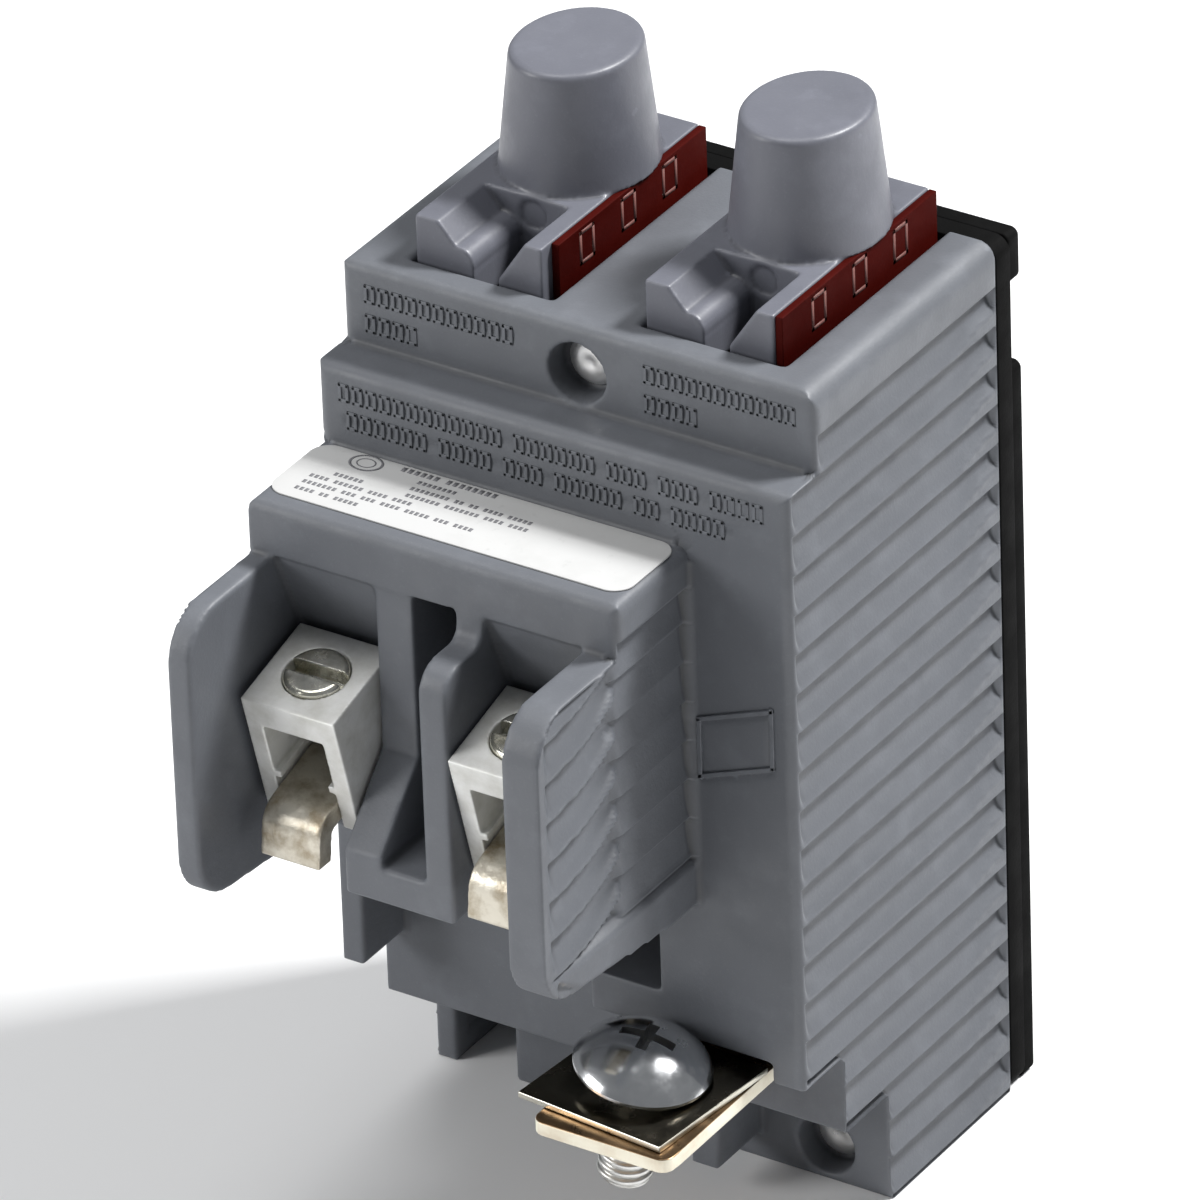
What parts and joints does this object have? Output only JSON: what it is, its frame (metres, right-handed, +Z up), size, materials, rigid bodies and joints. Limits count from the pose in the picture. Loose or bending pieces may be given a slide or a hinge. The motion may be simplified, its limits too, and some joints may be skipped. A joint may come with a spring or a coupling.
{
  "type": "twin push-button circuit breaker",
  "caption": "Twin push-button branch breaker: grey ribbed case, two oval buttons with red flags, two box lugs and a screw line terminal.",
  "frame": {"origin": "on the underside, at the middle of the whole breaker's footprint", "axes": "+Z up towards the buttons, -Y towards the terminals, +X to the right seen from the terminals"},
  "size_m": [0.038, 0.0498, 0.0813],
  "materials": {
    "case_grey": "moulded thermoset, fine matt grain",
    "button_grey": "moulded, slightly smoother than the case",
    "cover_black": "matt black moulded plate",
    "fibre": "plain insulating sheet",
    "flag_red": "dull dark red",
    "label_white": null,
    "rivet_steel": "bright, domed",
    "terminal_brass": "tarnished plate",
    "dark_steel": "dark plated, dull",
    "zinc_screw": "bright plated",
    "lug_screw_steel": "yellowish zinc plated",
    "lug_aluminium": "satin",
    "tinned_copper": "warm tin plate, mottled",
    "spring_steel": "plain",
    "silver": "satin",
    "copper": "bare copper, satin",
    "bimetal": "plain strip"
  },
  "bodies": {
    "housing": {"case": "case_grey", "cover": "cover_black", "rail_plate_upper": "cover_black", "rail_plate_lower": "cover_black", "partition": "fibre", "rivets": "rivet_steel", "rating_label": "label_white", "line_strap": "terminal_brass", "lock_plate": "dark_steel", "fixed_contact_1": "silver", "fixed_contact_2": "silver", "arm_pin_1": "spring_steel", "arm_pin_2": "spring_steel", "latch_pin_1": "spring_steel", "latch_pin_2": "spring_steel", "braid_1": "copper", "braid_2": "copper", "arc_chute_1": "dark_steel", "arc_chute_2": "dark_steel", "lug_1": "lug_aluminium", "lug_2": "lug_aluminium", "load_strap_1": "tinned_copper", "load_strap_2": "tinned_copper"},
    "line_screw": {"line_screw": "zinc_screw"},
    "button_1": {"button_1": "button_grey", "off_flag_1": "flag_red", "button_spring_1": "spring_steel"},
    "arm_1": {"contact_arm_1": "copper", "moving_contact_1": "silver"},
    "thermal_1": {"bimetal_1": "bimetal", "yoke_1": "dark_steel"},
    "latch_1": {"trip_latch_1": "dark_steel"},
    "lug_screw_1": {"lug_screw_1": "lug_screw_steel"},
    "button_2": {"button_2": "button_grey", "off_flag_2": "flag_red", "button_spring_2": "spring_steel"},
    "arm_2": {"contact_arm_2": "copper", "moving_contact_2": "silver"},
    "thermal_2": {"bimetal_2": "bimetal", "yoke_2": "dark_steel"},
    "latch_2": {"trip_latch_2": "dark_steel"},
    "lug_screw_2": {"lug_screw_2": "lug_screw_steel"}
  },
  "joints": [
    {"name": "button_push_1", "type": "slide", "parent": "housing", "child": "button_1", "axis": [0, 0, 1], "range_m": [-0.004, 0], "stiffness_N_per_m": 300, "springref_m": 0.002, "deforming": ["button_spring_1"]},
    {"name": "arm_swing_1", "type": "hinge", "parent": "housing", "child": "arm_1", "pos_m": [-0.0068, 0.00945, 0.038], "axis": [0, 1, 0], "range_deg": [0, 12]},
    {"name": "thermal_bend_1", "type": "hinge", "parent": "housing", "child": "thermal_1", "pos_m": [-0.0138, 0.00415, 0.0389], "axis": [0, 1, 0], "range_deg": [0, 3], "stiffness_Nm_per_rad": 0.001, "springref_deg": -2.86},
    {"name": "latch_swing_1", "type": "hinge", "parent": "housing", "child": "latch_1", "pos_m": [-0.01, 0.00415, 0.0504], "axis": [0, 1, 0], "range_deg": [0, 8.5]},
    {"name": "button_push_2", "type": "slide", "parent": "housing", "child": "button_2", "axis": [0, 0, 1], "range_m": [-0.004, 0], "stiffness_N_per_m": 300, "springref_m": 0.002, "deforming": ["button_spring_2"]},
    {"name": "arm_swing_2", "type": "hinge", "parent": "housing", "child": "arm_2", "pos_m": [0.0117, 0.00945, 0.038], "axis": [0, 1, 0], "range_deg": [0, 12]},
    {"name": "thermal_bend_2", "type": "hinge", "parent": "housing", "child": "thermal_2", "pos_m": [0.0047, 0.00415, 0.0389], "axis": [0, 1, 0], "range_deg": [0, 3], "stiffness_Nm_per_rad": 0.001, "springref_deg": -2.86},
    {"name": "latch_swing_2", "type": "hinge", "parent": "housing", "child": "latch_2", "pos_m": [0.0085, 0.00415, 0.0504], "axis": [0, 1, 0], "range_deg": [0, 8.5]},
    {"name": "lug_screw_turn_1", "type": "slide", "parent": "housing", "child": "lug_screw_1", "axis": [0, -0.2588, 0.9659], "range_m": [-0.0025, 0.002]},
    {"name": "lug_screw_turn_2", "type": "slide", "parent": "housing", "child": "lug_screw_2", "axis": [0, -0.2588, 0.9659], "range_m": [-0.0025, 0.002]},
    {"name": "line_screw_turn", "type": "slide", "parent": "housing", "child": "line_screw", "axis": [0.1908, 0, 0.9816], "range_m": [0, 0.004]}
  ],
  "couplings": [
    {"joint": "arm_swing_1", "follows": "button_push_1", "rad_per_m": -52.36},
    {"joint": "latch_swing_1", "follows": "thermal_bend_1", "ratio": 2.8},
    {"joint": "arm_swing_2", "follows": "button_push_2", "rad_per_m": -52.36},
    {"joint": "latch_swing_2", "follows": "thermal_bend_2", "ratio": 2.8}
  ]
}
